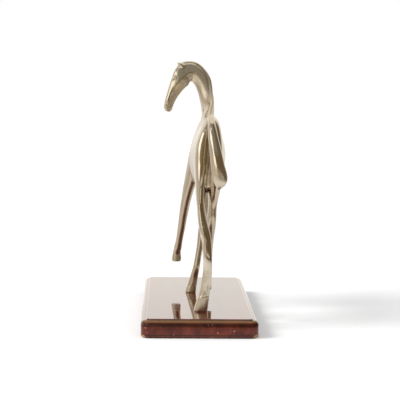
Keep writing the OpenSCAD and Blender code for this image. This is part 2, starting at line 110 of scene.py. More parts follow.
LEFT_HIND = (
    (7.4, -63, 170, 0.9, 2, 4, 0, 0, 2.4),
    (6.6, -64, 166, 2.8, 7, 12, 0, 0, 2.6),
    (5.2, -64.5, 158, 5.2, 12, 17.5, 0, 0, 2.8),
    (3.8, -64, 148, 7, 16, 19.6, 0, -3, 2.8),
    (2.9, -63, 138, 7.6, 19, 21.6, 0, -4, 2.8),
    (2.3, -62, 128, 7.1, 20, 23.2, 0, -4, 2.8),
    (1.7, -62, 116, 5.7, 17.5, 23.4, 0, -4, 2.7),
    (1.4, -66, 101, 4.4, 12, 19, -6, -6, 2.3),
    (1.9, -73, 89, 3.8, 8, 12, -12, -10, 1.9),
    (3, -78.5, 78, 4.1, 6.5, 8, -10, -14, 1.8),
    (4.8, -81, 69, 4.4, 5.5, 6.8, -3, -16, 1.8),
    (6.3, -82.3, 60, 4, 4.6, 5.6, 0, -18, 1.8),
    (7.1, -83.3, 48, 3.8, 4.2, 4.8, 0, -18, 2),
    (7.2, -82.3, 36, 3.9, 4.2, 4.8, 0, -12, 2.1),
    (6.3, -81.6, 26, 4.4, 5, 5, 0, -6, 2.2),
    (5.2, -81.1, 19, 4.4, 5, 5, 0, 0, 2.3),
    (4.2, -80.7, 13.6, 4.7, 6, 5.6, 0, 0, 2.4),
)
RIGHT_HIND = (
    (11.6, -61, 170, 0.9, 2, 4, 0, 0, 2.4),
    (12.4, -62, 166, 3.5, 7, 12, 0, 0, 2.6),
    (12.6, -62.5, 158, 5.6, 12, 17, 0, 0, 2.8),
    (12.8, -62, 148, 6.9, 16, 19.5, 0, 0, 2.8),
    (13, -60, 138, 7.5, 19, 21, 0, 0, 2.8),
    (13.6, -57.5, 128, 7, 20, 22, 0, 0, 2.8),
    (13.3, -55, 116, 7.1, 17.5, 23, 0, 0, 2.7),
    (12.9, -52, 102, 5.3, 12, 18, -3, 0, 2.5),
    (12, -51.5, 90, 4, 8, 12, -8, 0, 2.2),
    (11.2, -52.5, 79, 4.2, 6.5, 9, 0, 0, 2.2),
    (10.4, -50, 70, 4.4, 5.5, 7, 16, 0, 2.2),
    (9.8, -46, 61, 3.9, 4.6, 5, 25, 0, 2.4),
    (9.3, -40, 50, 3.7, 4.2, 4.6, 28, 0, 2.6),
    (9, -33, 39, 3.7, 4.2, 4.8, 28, 0, 2.6),
    (9, -27, 30, 3.9, 4.8, 5.6, 25, 0, 2.4),
    (9, -21, 24.5, 3.7, 4.6, 4.8, 32, 0, 2.4),
    (9, -16.5, 20.5, 3.8, 5.4, 5.4, 20, 0, 2.4),
)
LEFT_FORE = (
    (5.6, 32, 158, 1.2, 4, 4, 0, 0, 2.2),
    (2.4, 38, 148, 5.2, 13, 13, 0, 0, 2.4),
    (-0.4, 43, 134, 6.4, 17, 16, 5, 0, 2.6),
    (-2.6, 46, 121, 6.2, 15, 15, 12, 2, 2.7),
    (-5, 49, 109, 5.5, 11, 11.5, 22, 6, 2.5),
    (-7.5, 53, 98, 4.8, 8.5, 8, 30, 10, 2.4),
    (-9.5, 58.5, 87, 4.3, 6.5, 6, 30, 12, 2.3),
    (-11.3, 64, 76, 4, 5.6, 5.2, 32, 12, 2.3),
    (-12.5, 69.5, 67, 3.7, 5.4, 4.8, 33, 12, 2.3),
    (-13.4, 74, 59.5, 3.5, 5.2, 4.6, 33, 12, 2.3),
    (-14.9, 81, 49.2, 3.2, 4, 4, 34, 12, 2.3),
    (-16, 86.5, 41.2, 3.2, 3.8, 4, 34, 12, 2.3),
    (-16.9, 90.5, 36.2, 3.5, 4.3, 4.8, 32, 10, 2.4),
    (-17.4, 93.5, 33, 3.5, 4.2, 4.3, 30, 6, 2.4),
    (-17.8, 96, 29.8, 3.9, 5.2, 5.2, 20, 0, 2.4),
)
RIGHT_FORE = (
    (10.4, 30, 158, 1.2, 4, 4, 0, 0, 2.2),
    (12.6, 35, 148, 5.2, 13, 13, 0, 0, 2.4),
    (13.8, 39, 134, 6.4, 17, 16, 0, 0, 2.6),
    (13, 41, 121, 6, 15, 15, 0, 0, 2.7),
    (11.6, 41, 109, 5.2, 11, 11.5, 0, 0, 2.7),
    (10.4, 39.5, 98, 4.5, 8.5, 8.5, 0, 0, 2.6),
    (9, 37.5, 87, 4, 6.5, 6.8, 0, 0, 2.5),
    (7.7, 36, 75, 3.7, 5.6, 5.8, 0, 0, 2.4),
    (6.3, 35, 65, 3.6, 5.4, 5.2, 0, 0, 2.4),
    (5.2, 34, 57, 3.5, 5.3, 5, 0, 0, 2.4),
    (3.6, 31.5, 45, 3, 4, 4.2, 0, 0, 2.4),
    (1.8, 29.5, 34, 2.9, 3.8, 4.2, 0, 0, 2.4),
    (0.3, 28, 25, 3.1, 4.3, 5, 4, 0, 2.3),
    (-1.8, 29.5, 15.5, 3.6, 4.2, 4.4, 12, 0, 2.3),
    (-3.9, 30.3, 6.2, 4.3, 5.4, 5.2, 0, 0, 2.4),
)
# Ground faces of the hooves, each a last station
LEFT_HIND_SOLE = (1.3, -78, 0, 6.2, 8.84, 8.16, 0, 0, 2.2)
RIGHT_HIND_SOLE = (9, -13, 11, 4.4, 8.84, 8.16, 8, 0, 2.2)
LEFT_FORE_SOLE = (-18.2, 98, 22.4, 4.7, 8.84, 8.16, 6, 0, 2.2)
RIGHT_FORE_SOLE = (-5.2, 29.5, 0, 5, 8.84, 5.2, 0, 0, 2.2)
LEGS = {
    "left_foreleg": (LEFT_FORE, LEFT_FORE_SOLE),
    "right_foreleg": (RIGHT_FORE, RIGHT_FORE_SOLE),
    "left_hind_leg": (LEFT_HIND, LEFT_HIND_SOLE),
    "right_hind_leg": (RIGHT_HIND, RIGHT_HIND_SOLE),
}

# How sharp a section is towards its front, its back and, if that differs, its sides:
# 1 is a ridge, 2 an ellipse, 3 blunt
BODY_FORM = (1.5, 2.2)
NECK_FORM = (1.6, 1.9)
HEAD_FORM = (2.5, 5.2, 1.1)
TAIL_FORM = (2, 1.9)
ROUND_FORM = (2, 2)
HOOF_FORM = (2.2, 3.4)

# Station at which each casting is split from the torso; on a leg it is counted from the coronet
LEG_SPLIT, NECK_JOINT, TAIL_JOINT = 9, 2, 1
# The mane runs between two stations of the neck. The head starts at one, and gets finer faces past
# an x and above a height. Roots and places are x and height, all in millimetres.
MANE_W, MANE_H, MANE_START, MANE_END = 3.6, 0.9, 3, 8
HEAD_Y, HEAD_START, HEAD_EDGE, HEAD_LOW = 58, 6, -6, 166
EAR_ROOT, EAR_L, EAR_PITCH, EAR_SPREAD = (-13.4, 214.6), 7.5, 125, 2.7
EYE_PLACE, EYE_L, EYE_W = (-22.2, 203.8), 5.2, 2.5
CHEEK_PLACE, CHEEK_R, CHEEK_HALF_W = (-13.6, 203.2), 7.2, 6.89
TORSO_TOP = (8.5, 5, 165)

# Stations of the flesh between the hind legs
SEAT = (
    (8.2, -62, 154, 2, 6, 8, 0, 0),
    (8, -64, 143, 3.8, 11, 13, 0, 0),
    (7.8, -65, 128, 3.8, 12, 13, 0, 0),
    (7.4, -64, 107, 3.4, 10, 8, 0, 0),
)

# Where the trunk's forms are blended: heights at which that starts and ends, and a reach backwards
TRUNK_FOOT, TRUNK_TOP, TRUNK_BACK = (90, 102), (172, 184), (-86, -78)
BLEND_PASSES, POLISH_PASSES = 24, 11

# Lines cut into the figure: places as x and height, then width and depth in millimetres
CHEEK_CREASE = ((-13.6, 215), (-12.4, 211.8), (-11, 208.4), (-9.2, 205), (-7.4, 202.6)), 2.6, 0.24
MOUTH = ((-30.4, 174.4), (-28.4, 175.4), (-26.6, 177), (-25.2, 179.4)), 1, 0.25
NOSTRIL = ((-28.8, 177), (-29.2, 178.6), (-29.8, 180.4), (-29.9, 181.6)), 1.3, 0.45
NECK_FOLDS = (
    (((8.5, 173), (7.2, 168.4), (5.8, 165)), 1, 0.5),
    (((5.4, 175.7), (5.9, 171)), 0.9, 0.4),
)
# Width and depth of the lines beside the mane and round the coronets, and on an eye's outline
# at three scales: the lid, the furrow inside it and the ball
MANE_LINE, CORONET_LINE = (1.5, 0.4), (1.6, 0.07)
EYE_LINES = ((1, 0.8, -0.25), (0.6, 0.6, 0.22), (0.2, 0.9, -0.2))

# The photograph's camera: place in metres, then yaw, pitch and roll in degrees
CAMERA_PLACE, CAMERA_TURN, CAMERA_LENS = (-0.030767, -1.229347, 0.207711), (1.546, 4.709, 0.58), 119.015

# The surround that the metal mirrors, in metres and degrees: a room, a mat on its floor, a screen
# beside the object, a kerb round the plinth and the glow of its bright cards
ROOM_R, MAT_R, MAT_ARC = 2.4, 0.3, (-168, 165)
SCREEN_R, SCREEN_H, SCREEN_ARC = 0.45, 0.32, (-95, -5)
KERB_OUT, KERB_H = 0.015, 0.011
CARD_GLOW = (1.8, 1.77, 1.7, 1)

# Rounding of the felt's corners and of the plinth's edges, in metres
FELT_CORNER, ARRIS, PANEL_ARRIS = 0.006, 0.00022, 0.0003
# Colours of the wood's marks, of its painted shade and of the painted highlight on its ovolo, and of the
# steel
PORE, STAIN, SHADE = (0.018, 0.006, 0.004, 1), (0.012, 0.006, 0.005, 1), (0.012, 0.0035, 0.0025, 1)
BARE_WOOD, FLECK, OVOLO_HIGHLIGHT = (0.42, 0.235, 0.1, 1), (0.5, 0.34, 0.24, 1), (0.2, 0.11, 0.04, 1)
STEEL, STEEL_SHADE = (0.5, 0.5, 0.51, 1), (0.36, 0.36, 0.37, 1)


def unique(items):
    """Items without repeats, in the order in which they first come."""
    return list(dict.fromkeys(items))


def mesh_from(bm, name):
    """A new mesh with a bmesh's shape. The bmesh is freed."""
    mesh = bpy.data.meshes.new(name)
    bm.to_mesh(mesh)
    bm.free()
    return mesh


def points_in(geom):
    """The points among the parts that an operator returns."""
    return [g for g in geom if isinstance(g, bmesh.types.BMVert)]


def ground_point(x, y, z):
    """A point of the figure, in millimetres above the plinth, in the row frame."""
    return Vector((x * MM, (y + STANCE) * MM, GROUND + z * MM))


def along(rows, t):
    """Station of a smooth curve through the rows, at position t counted in rows."""
    last = len(rows) - 1
    i = min(int(t), last - 1)
    u = t - i
    places = max(i - 1, 0), i, i + 1, min(i + 2, last)
    before, start, end, after = (np.array(rows[k], float) for k in places)
    return (2 * start + u * (end - before) + u**2 * (2 * before - 5 * start + 4 * end - after)
            + u**3 * (3 * start - before - 3 * end + after)) / 2


def axes(row):
    """Side, front and run of a station, where the run points along the limb."""
    turn = Matrix.Rotation(math.radians(row[7]), 3, "Z") @ Matrix.Rotation(math.radians(row[6]), 3, "X")
    return turn @ Vector((-1, 0, 0)), turn @ Vector((0, 1, 0)), turn @ Vector((0, 0, -1))


def limb_form(row):
    """Form of a leg's section, towards its front and its back."""
    return row[8], row[8]


def on_section(row, angle, form, grow=0.0):
    """Point at an angle round a station's section, where 90 degrees is its front."""
    side, front, _ = axes(row)
    form = form(row) if callable(form) else form
    c, s = math.cos(angle), math.sin(angle)
    end = form[0 if s >= 0 else 1]
    flank = form[2] if len(form) > 2 else end
    across = (row[3] + grow) * math.copysign(abs(c) ** (2 / end), c)
    reach = ((row[4] if s >= 0 else row[5]) + grow) * math.copysign(abs(s) ** (2 / flank), s)
    return ground_point(*row[:3]) + (side * across + front * reach) * MM


def loft(bm, rows, form, sides=48, steps=6, grow=0.0, first=0, last=None):
    """Adds a closed skin from one station to another: a grid wrapped round them and capped."""
    rings = ((len(rows) - 1 if last is None else last) - first) * steps
    stations = [along(rows, first + k / steps) for k in range(rings + 1)]
    made = bmesh.ops.create_grid(bm, x_segments=rings, y_segments=sides, size=0.5)["verts"]
    for v in made:
        station = stations[round((v.co.x + 0.5) * rings)]
        v.co = on_section(station, (v.co.y + 0.5) * math.tau, form, grow)
    bmesh.ops.remove_doubles(bm, verts=made, dist=1e-7)
    made = [v for v in made if v.is_valid]
    rims = unique(e for v in made for e in v.link_edges if e.is_boundary)
    bmesh.ops.holes_fill(bm, edges=rims, sides=0)
    bmesh.ops.recalc_face_normals(bm, faces=unique(f for v in made for f in v.link_faces))


def ball(bm, centre, radii):
    """Adds an ellipsoid, in millimetres."""
    made = bmesh.ops.create_uvsphere(bm, u_segments=40, v_segments=24, radius=1)["verts"]
    bmesh.ops.scale(bm, vec=Vector(radii) * MM, verts=made)
    bmesh.ops.translate(bm, vec=ground_point(*centre), verts=made)


def mane_rows():
    """Stations of the mane along the crest of the neck."""
    rows = []
    for i in range(MANE_START, MANE_END + 1):
        row = NECK[i]
        taper = 0.4 if i in (MANE_START, MANE_END) else 1
        lift = axes(row)[1] * (row[4] - MANE_W / 2 + MANE_H)
        rows.append((row[0] + lift.x, row[1] + lift.y, row[2] + lift.z,
                     MANE_W / 2 * taper, MANE_W / 2 * taper, MANE_W, row[6], row[7]))
    return rows


def ear_rows(side):
    """Stations of one ear, a pointed round taper: side is 1 or -1."""
    rows, pitch = [], math.radians(EAR_PITCH)
    for reach, width in ((-0.3, 1.9), (0.1, 2.2), (0.4, 2), (0.7, 1.35), (1, 0.3)):
        run = reach * EAR_L
        x, height = EAR_ROOT[0] - run * math.sin(pitch), EAR_ROOT[1] - run * math.cos(pitch)
        rows.append((x, HEAD_Y + side * EAR_SPREAD, height, width, width, width, EAR_PITCH, 90))
    return rows


def hoof_rows(leg, sole):
    """Stations of a hoof from its coronet rim to a little past its ground face, where it is cut later."""
    coronet, sole = np.array(leg[-1], float), np.array(sole, float)
    rows = [coronet * (1 - t) + sole * t for t in (0, 0.1, 0.5, 0.92, 1, 1.25)]
    for row, tuck in zip(rows[-2:], (0.92, 0.8)):
        row[3:6] *= tuck
    return rows


def smooth_step(low, high, values):
    """Smooth rise from 0 to 1 between two values."""
    t = np.clip((values - low) / (high - low), 0, 1)
    return t * t * (3 - 2 * t)


def evaluated_mesh(mesh, modify):
    """A mesh after the modifiers that modify(object) puts on it."""
    blank = bpy.data.objects.new("blank", mesh)
    bpy.context.scene.collection.objects.link(blank)
    modify(blank)
    made = bpy.data.meshes.new_from_object(blank.evaluated_get(bpy.context.evaluated_depsgraph_get()))
    bpy.data.objects.remove(blank)
    bpy.data.meshes.remove(mesh)
    return made


def fused_figure(voxel, blend_passes, polish_passes):
    """The whole cast figure as one mesh, its forms blended into each other."""
    bm = bmesh.new()
    loft(bm, BODY, BODY_FORM, 72)
    loft(bm, NECK, NECK_FORM, 56, 8, 0.1, 0, HEAD_START + 2)
    loft(bm, NECK, HEAD_FORM, 56, 8, 0.1, HEAD_START)
    loft(bm, mane_rows(), ROUND_FORM, 24, 8)
    loft(bm, TAIL, TAIL_FORM, 40, 8, 0.12)
    for leg, sole in LEGS.values():
        loft(bm, leg, limb_form, 48, 6, 0.12)
        loft(bm, hoof_rows(leg, sole), HOOF_FORM, 48, 4, 0.1)
    for side in (-1, 1):
        loft(bm, ear_rows(side), ROUND_FORM, 20, 5, 0.2)
    ball(bm, (CHEEK_PLACE[0], HEAD_Y, CHEEK_PLACE[1]), (CHEEK_R, CHEEK_HALF_W, CHEEK_R))
    loft(bm, SEAT, ROUND_FORM, 32)
    mesh = mesh_from(bm, "figure")

    def fuse(blank):
        remesh = blank.modifiers.new("Fuse", "REMESH")
        remesh.mode = "VOXEL"
        remesh.voxel_size = voxel

    def blend(blank):
        group = blank.vertex_groups.new(name="trunk")
        co = coordinates(blank.data) / MM
        height = co[:, 2] - GROUND / MM
        weight = smooth_step(*TRUNK_FOOT, height) * (1 - smooth_step(*TRUNK_TOP, height))
        weight = weight * smooth_step(*TRUNK_BACK, co[:, 1] - STANCE)
        for step in range(1, 11):
            chosen = np.flatnonzero(np.round(weight * 10) == step)
            group.add(chosen.tolist(), step / 10, "REPLACE")
        for name, passes, only in (("Blend", blend_passes, "trunk"), ("Polish", polish_passes, "")):
            smooth = blank.modifiers.new(name, "SMOOTH")
            smooth.factor, smooth.iterations, smooth.vertex_group = 0.5, passes, only

    return evaluated_mesh(evaluated_mesh(mesh, fuse), blend)


def refined_head(mesh, passes=7):
    """Gives the head finer faces than the rest of the figure, for its details."""
    bm = bmesh.new()
    bm.from_mesh(mesh)

    def in_head(place, edge):
        return place.x < edge * MM and place.z > GROUND + HEAD_LOW * MM

    head = [f for f in bm.faces if in_head(f.calc_center_median(), HEAD_EDGE)]
    edges = unique(e for f in head for e in f.edges)
    bmesh.ops.subdivide_edges(bm, edges=edges, cuts=1, use_grid_fill=True)
    fine = [v for v in bm.verts if in_head(v.co, HEAD_EDGE - 0.5)]
    for _ in range(passes):
        bmesh.ops.smooth_vert(bm, verts=fine, factor=0.5, use_axis_x=True, use_axis_y=True, use_axis_z=True)
    bm.to_mesh(mesh)
    bm.free()


def coordinates(mesh):
    """A mesh's points as an array."""
    co = np.empty(len(mesh.vertices) * 3, np.float32)
    mesh.vertices.foreach_get("co", co)
    return co.reshape(-1, 3).astype(float)


def normals(mesh):
    """A mesh's point normals as an array."""
    no = np.empty(len(mesh.vertices) * 3, np.float32)
    mesh.vertex_normals.foreach_get("vector", no)
    return no.reshape(-1, 3).astype(float)


def near_path(co, path, width):
    """How near each point is to a path: 1 on it and 0 a width away, less at the ends of an open one."""
    path = [np.array(p) for p in path]
    near = np.zeros(len(co))
    inside = np.all((co > np.min(path, 0) - width) & (co < np.max(path, 0) + width), axis=1)
    close = co[inside]
    best, place, travelled = np.full(len(close), np.inf), np.zeros(len(close)), 0.0
    for a, b in zip(path, path[1:]):
        run = b - a
        length = np.linalg.norm(run)
        t = np.clip((close - a) @ run / max(length**2, 1e-12), 0, 1)
        gap = np.linalg.norm(close - a - t[:, None] * run, axis=1)
        nearer = gap < best
        best[nearer], place[nearer] = gap[nearer], travelled + t[nearer] * length
        travelled += length
    fade = 1.0
    if np.linalg.norm(path[0] - path[-1]) > 1e-6:
        fade = smooth_step(0, 0.3, place / travelled) * smooth_step(0, 0.3, 1 - place / travelled)
    near[inside] = np.clip(1 - (best / width) ** 2, 0, 1) ** 2 * fade
    return near


def carve(mesh, paths):
    """Presses each (path, width, depth) into the surface, in millimetres; a negative depth raises it."""
    co, no = coordinates(mesh), normals(mesh)
    for path, width, depth in paths:
        co -= no * (near_path(co, path, width * MM) * depth * MM)[:, None]
    mesh.vertices.foreach_set("co", co.astype(np.float32).ravel())
    mesh.update()


def surface_path(tree, places, start, direction):
    """The points of a surface met from a start plane, for places given as x and height."""
    hits = []
    for x, z in places:
        place, _, _, _ = tree.ray_cast(ground_point(x, start, z), Vector((0, direction, 0)))
        if place is None:
            raise RuntimeError(f"no surface at {x}, {z}")
        hits.append(place)
    return hits


def detail_paths(mesh):
    """Creases, grooves and ridges of the figure, each as its path, width and depth."""
    tree = BVHTree.FromPolygons([v.co for v in mesh.vertices], [p.vertices for p in mesh.polygons])
    paths = []
    for sign in (-1, 1):
        crest = []
        for k in range(MANE_START * 6, MANE_END * 6 + 1):
            row = along(NECK, k / 6)
            lean = math.acos(min(1, (MANE_W * 0.62 / row[3])) ** (NECK_FORM[0] / 2))
            crest.append(on_section(row, lean if sign > 0 else math.pi - lean, NECK_FORM))
        paths.append((crest, *MANE_LINE))
        eye = [(eye_outline(scale), width, depth) for scale, width, depth in EYE_LINES]
        for places, width, depth in (CHEEK_CREASE, MOUTH, NOSTRIL, *eye):
            paths.append((surface_path(tree, places, HEAD_Y + sign * 30, -sign), width, depth))
    for places, width, depth in NECK_FOLDS:
        paths.append((surface_path(tree, places, 5, 1), width, depth))
    for leg, _ in LEGS.values():
        ring = [on_section(leg[-1], math.tau * k / 24, limb_form) for k in range(25)]
        paths.append((ring, *CORONET_LINE))
    return paths


def eye_outline(scale):
    """Places of an almond round the eye, as x and height, its long axis along the face."""
    long_axis, short_axis = Vector((-0.35, -0.94)), Vector((-0.94, 0.35))
    places = []
    for k in range(25):
        c, s = math.cos(math.tau * k / 24), math.sin(math.tau * k / 24)
        bow = math.copysign(abs(s) ** 1.6, s)
        lean = long_axis * c * EYE_L + short_axis * bow * EYE_W
        places.append(Vector(EYE_PLACE) + lean * (0.5 * scale))
    return places


def mark_hollows(mesh, passes=10, depth=0.16):
    """Stores how hollow the surface is at each point, for the tarnish that polishing leaves behind."""
    co, no = coordinates(mesh), normals(mesh)
    edges = np.empty(len(mesh.edges) * 2, np.int32)
    mesh.edges.foreach_get("vertices", edges)
    a, b = edges.reshape(-1, 2).T
    count = np.bincount(np.concatenate((a, b)), minlength=len(co))[:, None]
    even = co.copy()
    for _ in range(passes):
        ends, others = np.concatenate((a, b)), np.concatenate((b, a))
        even = np.stack([np.bincount(ends, even[others, k], len(co)) for k in range(3)], 1) / count
    hollow = np.clip(np.einsum("ij,ij->i", even - co, no) / (depth * MM), -1, 1)
    mesh.attributes.new("hollow", "FLOAT", "POINT").data.foreach_set("value", hollow.astype(np.float32))


def joints():
    """Each casting's joint with the torso: the station of its face."""
    stations = {name: leg[-1 - LEG_SPLIT] for name, (leg, _) in LEGS.items()}
    return {**stations, "head_and_neck": NECK[NECK_JOINT], "tail": TAIL[TAIL_JOINT]}


def cut_across(bm, row, discard):
    """Cuts a figure across a station, drops what is past it if asked to, and returns the cut's edges."""
    centre, run = ground_point(*row[:3]), axes(row)[2]
    reach = (max(row[3:6]) + 2.5) * MM
    faces = [f for f in bm.faces if (f.calc_center_median() - centre).length < reach]
    geom = unique(v for f in faces for v in f.verts) + unique(e for f in faces for e in f.edges) + faces
    cut = bmesh.ops.bisect_plane(
        bm, geom=geom, dist=1e-7, plane_co=centre, plane_no=run, clear_outer=discard)["geom_cut"]
    return [g for g in cut if isinstance(g, bmesh.types.BMEdge)]


def split_castings(mesh):
    """Cuts the figure at its soles and joint faces and returns a closed mesh for each casting."""
    bm = bmesh.new()
    bm.from_mesh(mesh)
    for _, sole in LEGS.values():
        cut_across(bm, sole, True)
    for row in joints().values():
        bmesh.ops.split_edges(bm, edges=cut_across(bm, row, False))
    island = bm.verts.layers.int.new("casting")
    tips = {name: ground_point(*sole[:3]) for name, (_, sole) in LEGS.items()}
    tips |= {"head_and_neck": ground_point(*NECK[-1][:3]), "tail": ground_point(*TAIL[-1][:3])}
    tips["torso"] = ground_point(*TORSO_TOP)
    names = list(tips)
    bm.verts.ensure_lookup_table()
    for number, name in enumerate(names, 1):
        seed = min(bm.verts, key=lambda v: (v.co - tips[name]).length_squared)
        if seed[island]:
            raise RuntimeError(f"{name} wasn't cut free of {names[seed[island] - 1]}")
        seed[island] = number
        front = [seed]
        while front:
            v = front.pop()
            for e in v.link_edges:
                other = e.other_vert(v)
                if not other[island]:
                    other[island] = number
                    front.append(other)
    whole = mesh_from(bm, "split")
    castings = {}
    for number, name in enumerate(names, 1):
        bm = bmesh.new()
        bm.from_mesh(whole)
        layer = bm.verts.layers.int["casting"]
        bmesh.ops.delete(bm, geom=[v for v in bm.verts if v[layer] != number], context="VERTS")
        bm.verts.layers.int.remove(layer)
        rims = [e for e in bm.edges if e.is_boundary]
        bmesh.ops.holes_fill(bm, edges=rims, sides=0)
        for f in bm.faces:
            f.smooth = len(f.verts) < 5
        for e in rims:
            e.smooth = False
        castings[name] = mesh_from(bm, name + "_casting")
    bpy.data.meshes.remove(whole)
    return castings


class Wire:
    """One output of a shader node. Python's operators on it add Math nodes to its tree."""

    def __init__(self, tree, output=None):
        self.tree, self.output = tree, output

    def node(self, kind, settings=None, values=None, out=0):
        """Adds a node of a kind, sets it, then links or sets its inputs, and returns one output."""
        made = self.tree.nodes.new("ShaderNode" + kind)
        for name, value in (settings or {}).items():
            if name == "stops":
                ramp = made.color_ramp
                while len(ramp.elements) < len(value):
                    ramp.elements.new(0.5)
                for element, (place, colour) in zip(ramp.elements, value):
                    element.position, element.color = place, colour
            else:
                setattr(made, name, value)
        for key, value in (values or {}).items():
            if isinstance(value, Wire):
                self.tree.links.new(value.output, made.inputs[key])
            else:
                made.inputs[key].default_value = value
        return Wire(self.tree, made.outputs[out])

    def math(self, operation, *operands):
        """Adds a Math node."""
        return self.node("Math", {"operation": operation}, dict(enumerate(operands)))

    def __add__(self, other):
        return self.math("ADD", self, other)

    __radd__ = __add__

    def __sub__(self, other):
        return self.math("SUBTRACT", self, other)

    def __rsub__(self, other):
        return self.math("SUBTRACT", other, self)

    def __mul__(self, other):
        return self.math("MULTIPLY", self, other)

    def __truediv__(self, other):
        return self.math("DIVIDE", self, other)

    def __pow__(self, other):
        return self.math("POWER", self, other)

    def rise(self, low, high):
        """Smooth rise from 0 to 1 between two values."""
        return self.node("MapRange", {"interpolation_type": "SMOOTHSTEP"}, {0: self, 1: low, 2: high})

    def band(self, low, full, fall, high):
        """Smooth rise from 0 to 1 between the first two values, and back between the last two."""
        return self.rise(low, full) * (1 - self.rise(fall, high))

    def mixed(self, first, second):
        """Mix of two colours, with this wire as the share of the second."""
        return self.node("Mix", {"data_type": "RGBA"}, {0: self, 6: first, 7: second}, 2)


def new_material(name):
    """An empty node material and a wire in its tree."""
    material = bpy.data.materials.new(name)
    material.use_nodes = True
    material.node_tree.nodes.clear()
    return material, Wire(material.node_tree)


def close_material(material, shader):
    """Puts a shader on a material's output."""
    out = material.node_tree.nodes.new("ShaderNodeOutputMaterial")
    material.node_tree.links.new(shader.output, out.inputs["Surface"])
    return material


def colour(rgb):
    """An opaque colour."""
    return (*rgb, 1)


def stretched(start, scale, offset=(0, 0, 0)):
    """Object coordinates, scaled along each axis."""
    place = start.node("TexCoord", out=3)
    return start.node("Mapping", None, {"Vector": place, "Scale": scale, "Location": offset})


def noise(w, scale, detail, roughness=0.5, distortion=0.0, offset=(0, 0, 0)):
    """Noise on object coordinates that are scaled along each axis."""
    return w.node("TexNoise", None, {
        "Vector": stretched(w, scale, offset), "Scale": 1, "Detail": detail, "Roughness": roughness,
        "Distortion": distortion})


def place_axes(w):
    """Object coordinates, as a wire for each axis."""
    place = w.node("TexCoord", out=3)
    return [w.node("SeparateXYZ", None, {"Vector": place}, k) for k in range(3)]


def metal_material(settings):
    """Hand-polished cast metal: soft brushing, faint clouding, and tarnish left in the hollows.

    The polish is duller on the forehand, most of all on the neck and jaw, and on the legs past the
    near one, the near foot and the tip of the tail. The legs past the near one are also darkened
    with painted shade.
    """
    material, w = new_material("polished_metal")
    x, y, z = place_axes(w)
    clouds = noise(w, (22, 22, 16), 4, 0.55)
    brushing = noise(w, (900, 900, 70), 3, 0.6)
    waves = noise(w, (130, 130, 90), 2)
    tarnish = w.node("Attribute", {"attribute_name": "hollow"}, out=2).rise(0.12, 0.9)
    front, leg = y.rise(-0.01, 0.05), y.rise(-0.084, -0.06) * (1 - z.rise(0.13, 0.18))
    neck = x.rise(-0.008, 0) * z.rise(0.15, 0.19)
    jaw = ((x + 0.0107) * 0.823 - (z - GROUND - 0.207) * 0.569).rise(-0.0005, 0.001)
    jaw = jaw * (1 - x.rise(-0.012, -0.006)) * z.rise(0.17, 0.175)
    foot = (1 - z.rise(0.045, 0.065)) * (1 - y.rise(-0.07, -0.06))
    tip = z.band(0.1, 0.115, 0.128, 0.16) * (1 - y.rise(-0.1, -0.095))
    satin = front * (0.08 + neck * 0.2 + jaw * 0.22) + (leg + foot) * 0.16 + tip * 0.22
    bright, cloudy = colour(settings.metal_colour), colour(settings.metal_shade)
    base = clouds.rise(0.35, 0.7).mixed(bright, cloudy)
    # Painted shade: the legs past the near one are darkened towards their shade colour
    base = (leg * 0.85).mixed(base, colour(settings.painted_leg_shade))
    base = (tarnish * 0.75).mixed(base, colour(settings.tarnish_colour))
    uneven = (brushing - 0.5) * 0.06 + clouds.rise(0.4, 0.75) * 0.05 + tarnish * 0.3
    rough = settings.polish + satin + uneven
    relief = w.node("Bump", None, {"Strength": 0.03, "Distance": 0.0004, "Height": waves})
    shader = w.node("BsdfPrincipled", None, {
        "Base Color": base, "Metallic": 1.0, "Roughness": rough, "Normal": relief})
    return close_material(material, shader)


